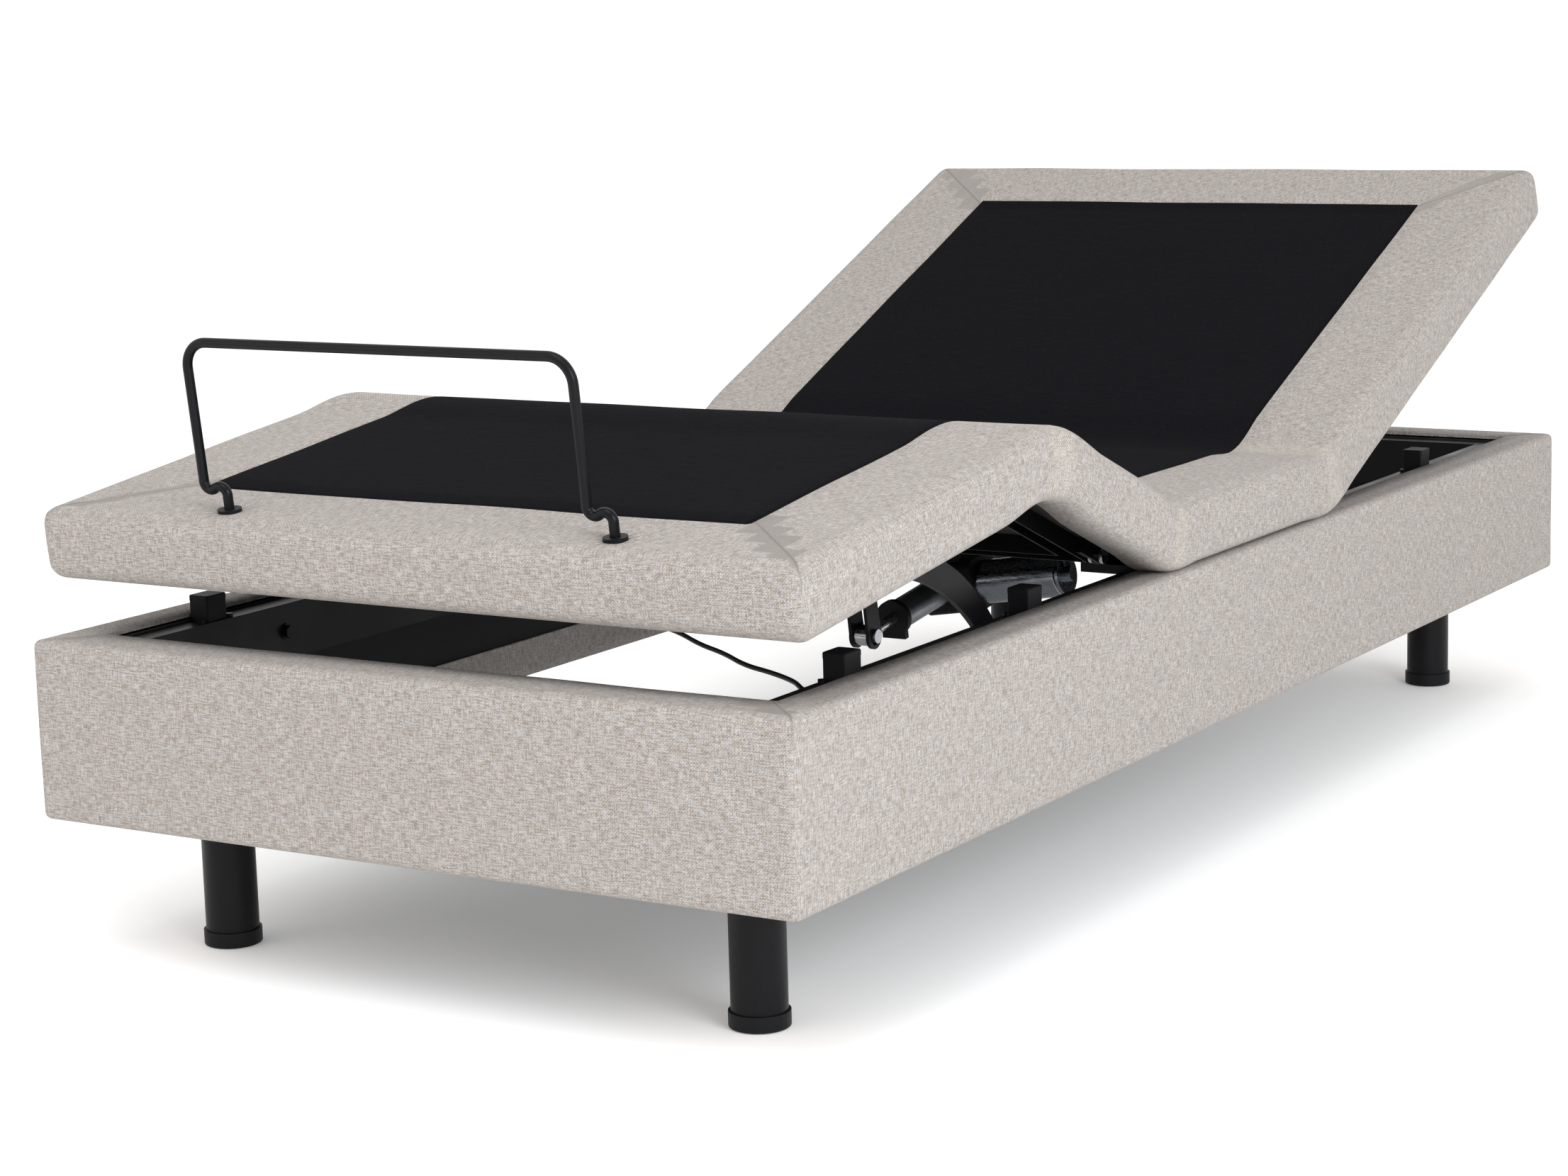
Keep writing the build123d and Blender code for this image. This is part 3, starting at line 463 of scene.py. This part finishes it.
def rounded(place, low, high, radius):
    """Moves a point of a box's skin onto the same box with round edges."""
    core = Vector([min(max(place[i], low[i] + radius), high[i] - radius) for i in range(3)])
    out = place - core
    if out.length < 1e-9:
        return place
    # Only places off the core in two directions or more lie on a round edge.
    if sum(1 for c in out if abs(c) > 1e-9) < 2:
        return place
    # Equal steps on the flat grid become equal angles on the round edge.
    turns = [min(1.0, abs(c) / radius) * math.pi / 4 for c in out]
    eased = Vector([math.copysign(radius * math.sin(turn), c) for turn, c in zip(turns, out)])
    return core + eased.normalized() * radius


def ripple(place, size):
    """Gentle unevenness of stuffed cloth, repeatable and free of direction."""
    x, y, z = (c / size for c in place)
    return (
        math.sin(1.7 * x + 0.9 * y + 2.1 * z)
        + 0.6 * math.sin(3.1 * y - 1.3 * x + 0.7)
        + 0.5 * math.sin(2.3 * z + 2.9 * x - 1.9 * y + 1.9)
    ) / 2.1


def new_mesh(name, points, faces, flats, clothes, material):
    """A mesh object that carries each corner's place on the flat cloth."""
    mesh = bpy.data.meshes.new(name)
    mesh.from_pydata([tuple(p) for p in points], [], faces)
    mesh.materials.append(material)
    flat = mesh.attributes.new("flat", "FLOAT_VECTOR", "POINT")
    flat.data.foreach_set("vector", np.array([tuple(p) for p in flats], np.float32).ravel())
    cloth = mesh.attributes.new("cloth", "FLOAT_VECTOR", "CORNER")
    cloth.data.foreach_set("vector", np.array(clothes, np.float32).ravel())
    mesh.polygons.foreach_set("use_smooth", [True] * len(mesh.polygons))
    mesh.update()
    made = bpy.data.objects.new(name, mesh)
    bpy.context.scene.collection.objects.link(made)
    return made


def cloth_places(faces, flats):
    """Where each face corner lies on its own piece of cloth, folded out by the side that it is on."""
    places = []
    for face in faces:
        a, b, c = (flats[i] for i in face[:3])
        normal = (b - a).cross(c - a)
        size = [abs(v) for v in normal]
        for i in face:
            p = flats[i]
            if size[2] >= max(size[0], size[1]):
                end_border = abs(p.y) > HALF_L - 0.12 and HALF_L - abs(p.y) < HALF_W - abs(p.x)
                places.append((p.y, p.x, 0.0) if end_border else (p.x, p.y, 0.0))
            elif size[0] > size[1]:
                places.append((p.z + 1.1, p.y, 0.0))
            else:
                places.append((p.x, p.z + 1.7, 0.0))
    return places


# ---------------------------------------------------------------- the box's cover


def box_cover(material):
    skin = Skin()
    xs = lines(-HALF_W, HALF_W, 0.03, both([RIM_X, HEM_X] + [HALF_W - e for e in BOX_EDGE]))
    ys = lines(-HALF_L, HALF_L, 0.04, both([RIM_Y, HEM_Y] + [HALF_L - e for e in BOX_EDGE]))
    zs = lines(BOX_LOW, BOX_HIGH, 0.018, [BOX_LOW + e for e in BOX_EDGE] + [BOX_HIGH - e for e in BOX_EDGE])
    skin.sheet(2, BOX_HIGH, xs, ys, False, lambda x, y: abs(x) > RIM_X or abs(y) > RIM_Y)
    skin.sheet(2, BOX_LOW, xs, ys, True, lambda x, y: abs(x) > HEM_X or abs(y) > HEM_Y)
    for sign in (-1, 1):
        skin.sheet(0, sign * HALF_W, ys, zs, sign < 0)
        skin.sheet(1, sign * HALF_L, xs, zs, sign < 0)
    rim_x = [x for x in xs if abs(x) <= RIM_X + TOUCH]
    rim_y = [y for y in ys if abs(y) <= RIM_Y + TOUCH]
    hem_x = [x for x in xs if abs(x) <= HEM_X + TOUCH]
    hem_y = [y for y in ys if abs(y) <= HEM_Y + TOUCH]
    rim_z = [BOX_HIGH - 0.006, BOX_HIGH]
    hem_z = lines(BOX_LOW, HEM_TOP, 0.012)
    for sign in (-1, 1):
        skin.sheet(0, sign * RIM_X, rim_y, rim_z, sign > 0)
        skin.sheet(1, sign * RIM_Y, rim_x, rim_z, sign > 0)
        skin.sheet(0, sign * HEM_X, hem_y, hem_z, sign > 0)
        skin.sheet(1, sign * HEM_Y, hem_x, hem_z, sign > 0)
    low = Vector((-HALF_W, -HALF_L, BOX_LOW))
    high = Vector((HALF_W, HALF_L, BOX_HIGH))
    flats = [p.copy() for p in skin.points]
    shaped = []
    for p in skin.points:
        inner = (abs(p.x) <= HEM_X + TOUCH and abs(p.y) <= HEM_Y + TOUCH) or p.z > BOX_HIGH - TOUCH
        q = rounded(p, low, high, BOX_ROUND)
        swell = 0.0008 * ripple(p, 0.11)
        if abs(p.x) > HALF_W - TOUCH:
            q.x += math.copysign(swell, p.x)
        if abs(p.y) > HALF_L - TOUCH:
            q.y += math.copysign(swell, p.y)
        if p.z > BOX_HIGH - TOUCH and not (abs(p.x) > HALF_W - 0.015 or abs(p.y) > HALF_L - 0.015):
            from_x = abs(p.x) - RIM_X if abs(p.x) > RIM_X else 1
            from_y = abs(p.y) - RIM_Y if abs(p.y) > RIM_Y else 1
            across = min(from_x, from_y)
            q.z += 0.0004 * ripple(p, 0.07) - (0.0025 if across < 0.002 else 0.0)
        if inner and p.z < BOX_HIGH - 0.1 and p.z > BOX_LOW + 0.006:
            q += Vector((0.0006 * ripple(p, 0.03), 0.0, 0.0))
        shaped.append(q)
    made = new_mesh("box_cover", shaped, skin.faces, flats, cloth_places(skin.faces, flats), material)
    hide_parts("base_upholstery")
    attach(made, "base")
    return made


# ---------------------------------------------------------------- the platform's cover

# Half the length of cloth that bends at each hinge.
SPANS = {"back": 0.085, "thigh": 0.075, "knee": 0.100}


def hinge_lines(y, span):
    return [y + span * i / 10 for i in range(-10, 11)]


def platform_skin(y0, y1, hinge_y, span, closed_low, closed_high):
    """The stretch of the flat platform's skin between y0 and y1."""
    skin = Skin()
    xs = lines(
        -HALF_W, HALF_W, 0.028,
        both([HALF_W - e for e in PAD_EDGE] + [POCKET_X, FELT_X - 0.004, FELT_X, FELT_X + 0.004])
        + both([BAR_HOLE.x + d for d in (-HOLE_HALF, HOLE_HALF, -HOLE_RING, HOLE_RING)]),
    )
    ends = both([HALF_L - e for e in PAD_EDGE] + [POCKET_Y, FELT_Y - 0.004, FELT_Y, FELT_Y + 0.004])
    holes = [BAR_HOLE.y + d for d in (-HOLE_RING, -HOLE_HALF, HOLE_HALF, HOLE_RING)]
    ys = lines(y0, y1, 0.026, ends + holes + hinge_lines(hinge_y, span))
    zs = lines(PAD_LOW, PAD_HIGH, 0.011, [PAD_LOW + e for e in PAD_EDGE] + [PAD_HIGH - e for e in PAD_EDGE])

    def on_top(x, y):
        return not (abs(abs(x) - BAR_HOLE.x) < HOLE_HALF and abs(y - BAR_HOLE.y) < HOLE_HALF)

    def on_border(x, y):
        return abs(x) > POCKET_X or abs(y) > POCKET_Y

    skin.sheet(2, PAD_HIGH, xs, ys, False, on_top)
    skin.sheet(2, PAD_LOW, xs, ys, True, on_border)
    for sign in (-1, 1):
        skin.sheet(0, sign * HALF_W, ys, zs, sign < 0)
    if closed_low:
        skin.sheet(1, y0, xs, zs, True)
    if closed_high:
        skin.sheet(1, y1, xs, zs, False)
    inner_x = [x for x in xs if abs(x) <= POCKET_X + TOUCH]
    inner_y = [y for y in ys if abs(y) <= POCKET_Y + TOUCH]
    inner_z = lines(PAD_LOW, POCKET_TOP, 0.008)
    for sign in (-1, 1):
        skin.sheet(0, sign * POCKET_X, inner_y, inner_z, sign > 0)
    if closed_low:
        skin.sheet(1, -POCKET_Y, inner_x, inner_z, False)
    if closed_high:
        skin.sheet(1, POCKET_Y, inner_x, inner_z, True)
    skin.sheet(2, POCKET_TOP, inner_x, inner_y, True)
    return skin


def bulge(p):
    """How far the padded side stands out, most at half its height."""
    half = (PAD_HIGH - PAD_LOW) / 2
    middle = 1 - ((p.z - PAD_LOW - half) / half) ** 2
    return 0.0012 * middle + 0.0007 * ripple(p, 0.10)


def platform_shape(p):
    """The padded form of the flat cover: round edges, a sewn-in felt panel and soft, uneven sides."""
    low = Vector((-HALF_W, -HALF_L, PAD_LOW))
    high = Vector((HALF_W, HALF_L, PAD_HIGH))
    inner = abs(p.x) <= POCKET_X + TOUCH and abs(p.y) <= POCKET_Y + TOUCH and p.z < POCKET_TOP + TOUCH
    if inner:
        return p.copy()
    q = rounded(p, low, high, PAD_ROUND)
    if p.z > PAD_HIGH - TOUCH:
        seam = min(abs(abs(p.x) - FELT_X) if abs(p.y) < FELT_Y + 0.002 else 1,
                   abs(abs(p.y) - FELT_Y) if abs(p.x) < FELT_X + 0.002 else 1)
        if seam < 1e-4:
            q.z -= 0.0018
        hole = math.hypot(abs(p.x) - BAR_HOLE.x, p.y - BAR_HOLE.y)
        q.z -= 0.0030 * max(0.0, 1 - hole / 0.030)
        q.z += 0.0007 * ripple(p, 0.09) - 0.0007
    if abs(p.x) > HALF_W - TOUCH:
        q.x += math.copysign(bulge(p), p.x)
    if abs(p.y) > HALF_L - TOUCH:
        q.y += math.copysign(bulge(p), p.y)
    return q


def turn(hinge, angle):
    """Turning by an angle about an axis along X through the hinge."""
    return Matrix.Translation(hinge) @ Matrix.Rotation(angle, 4, "X") @ Matrix.Translation(-hinge)


def folded(points, hinge, angle, start, end):
    rest = [p.copy() for p in points]
    way = end - start
    for i, flat in enumerate(points):
        share = 0.0 if (flat - hinge).dot(way) < 0 else 1.0
        for _ in range(60):
            p = turn(hinge, angle * share) @ flat
            t = min(1.0, max(0.0, (p - start).dot(way) / way.length_squared))
            share = 0.5 * share + 0.5 * t * t * (3 - 2 * t)
        rest[i] = turn(hinge, angle * share) @ flat
    return rest


def platform_piece(name, materials, span_name, limits, hinge, angle, carry, nodes):
    """One stretch of the cover across one hinge. carry is how its first body is posed at rest."""
    material, felt_material = materials
    y0, y1 = limits
    span = SPANS[span_name]
    skin = platform_skin(y0, y1, hinge.y, span, y0 <= -HALF_L + TOUCH, y1 >= HALF_L - TOUCH)
    flats = [p.copy() for p in skin.points]
    shaped = [platform_shape(p) for p in skin.points]
    head_side_moves = span_name == "back"
    side = 1 if head_side_moves else -1
    middle = Vector((0, 0, 0.030))
    start = hinge + middle - Vector((0, side * span, 0))
    far = turn(hinge, angle) @ (hinge + middle + Vector((0, side * span, 0)))
    posed = folded(shaped, hinge, angle, start, far)
    posed = [carry @ p for p in posed]
    made = new_mesh(name, posed, skin.faces, flats, cloth_places(skin.faces, flats), material)
    made.data.materials.append(felt_material)
    for polygon in made.data.polygons:
        middle = sum((flats[i] for i in polygon.vertices), Vector()) / len(polygon.vertices)
        if middle.z > PAD_HIGH - 1e-4 and abs(middle.x) < FELT_X and abs(middle.y) < FELT_Y:
            polygon.material_index = 1
    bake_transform(made)
    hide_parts(*nodes)
    return made


def platform_cover(materials):
    seat_cut = (BACK_HINGE.y + THIGH_HINGE.y) / 2
    thigh_cut = (THIGH_HINGE.y + KNEE_HINGE.y) / 2
    stay = Matrix.Identity(4)
    thigh_up = turn(THIGH_HINGE, -THIGH_ANGLE)
    platform_piece(
        "back_cover", materials, "back", (seat_cut, HALF_L), BACK_HINGE, BACK_ANGLE,
        stay, ("seat_pad", "back_pad"),
    )
    platform_piece(
        "thigh_cover", materials, "thigh", (thigh_cut, seat_cut), THIGH_HINGE, -THIGH_ANGLE,
        stay, ("thigh_pad",),
    )
    platform_piece(
        "calf_cover", materials, "knee", (-HALF_L, thigh_cut), KNEE_HINGE, KNEE_ANGLE,
        thigh_up, ("calf_pad",),
    )


# ---------------------------------------------------------------- cable

CABLE_ROUTE = [
    (-0.280, 0.038, 0.312), (-0.280, -0.002, 0.312), (-0.284, -0.060, 0.309), (-0.283, -0.122, 0.306),
    (-0.288, -0.185, 0.304), (-0.285, -0.245, 0.303), (-0.268, -0.300, 0.301), (-0.232, -0.343, 0.299),
    (-0.184, -0.378, 0.298), (-0.133, -0.420, 0.295), (-0.082, -0.456, 0.295), (-0.029, -0.498, 0.293),
    (0.027, -0.536, 0.295), (0.080, -0.579, 0.294), (0.134, -0.617, 0.296), (0.186, -0.661, 0.296),
    (0.240, -0.695, 0.299), (0.290, -0.735, 0.302), (0.322, -0.776, 0.306), (0.346, -0.803, 0.309),
    (0.366, -0.803, 0.309),
]


def handset_cable():
    curve = bpy.data.curves.new("cable_line", "CURVE")
    curve.dimensions = "3D"
    curve.bevel_depth = CABLE_DIAMETER / 2
    curve.bevel_resolution = 4
    curve.resolution_u = 10
    spline = curve.splines.new("NURBS")
    spline.points.add(len(CABLE_ROUTE) - 1)
    for point, place in zip(spline.points, CABLE_ROUTE):
        point.co = (*place, 1.0)
    spline.order_u = 3
    spline.use_endpoint_u = True
    curve.materials.append(coated("cable_sheath", rgb(0.009, 0.009, 0.010), 0.45, 1500.0, 0.1))
    made = bpy.data.objects.new("cable_line", curve)
    bpy.context.scene.collection.objects.link(made)
    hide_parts("handset_cable")
    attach(made, "base")


# ---------------------------------------------------------------- floor, light and camera


def studio():
    mesh = bpy.data.meshes.new("floor")
    bm = bmesh.new()
    bmesh.ops.create_grid(bm, x_segments=8, y_segments=8, size=400.0)
    bm.to_mesh(mesh)
    bm.free()
    floor = bpy.data.objects.new("floor", mesh)
    floor.location.z = -0.0006
    mesh.materials.append(floor_material())
    bpy.context.scene.collection.objects.link(floor)
    world = bpy.data.worlds.new("studio")
    world.use_nodes = True
    world.node_tree.nodes["Background"].inputs[0].default_value = rgb(1.0, 1.0, 1.0)
    world.node_tree.nodes["Background"].inputs[1].default_value = 1.0
    bpy.context.scene.world = world
    lights = [
        ("key", (3.5, -2.2, 1.7), 88.0, 2.0, (0.92, 0.955, 1.0)),
        ("fill", (-2.4, -3.6, 1.6), 14.0, 2.5, (1.0, 0.945, 0.88)),
        ("top", (0.2, -2.0, 3.0), 25.0, 2.0, (0.99, 0.99, 1.0)),
    ]
    for name, place, power, size, tint in lights:
        data = bpy.data.lights.new(name, "AREA")
        data.color = tint
        data.energy = power
        data.shape = "DISK"
        data.size = size
        lamp = bpy.data.objects.new(name, data)
        lamp.location = place
        aim = Vector((0, -0.1, 0.3)) - Vector(place)
        lamp.rotation_euler = aim.to_track_quat("-Z", "Y").to_euler()
        bpy.context.scene.collection.objects.link(lamp)
    bpy.context.scene.view_settings.view_transform = "Standard"


def camera():
    data = bpy.data.cameras.new("camera")
    data.sensor_width = 36.0
    data.lens = 77.4
    data.clip_end = 1000.0
    made = bpy.data.objects.new("camera", data)
    heading, tilt, roll = math.radians(31.754), math.radians(10.019), math.radians(-1.603)
    ahead = Vector((-math.sin(heading) * math.cos(tilt), math.cos(heading) * math.cos(tilt), -math.sin(tilt)))
    right = Vector((math.cos(heading), math.sin(heading), 0))
    up = right.cross(ahead)
    side = right * math.cos(roll) + up * math.sin(roll)
    top = up * math.cos(roll) - right * math.sin(roll)
    turned = Matrix((side, top, -ahead)).transposed().to_4x4()
    made.matrix_world = Matrix.Translation((1.9555, -3.4409, 0.9551)) @ turned
    bpy.context.scene.collection.objects.link(made)
    bpy.context.scene.camera = made


camera()
handset_cable()
studio()
dress_hard_parts()
platform_cover((linen("platform_linen", platform=True), felt("black_felt")))
box_cover(linen("box_linen"))
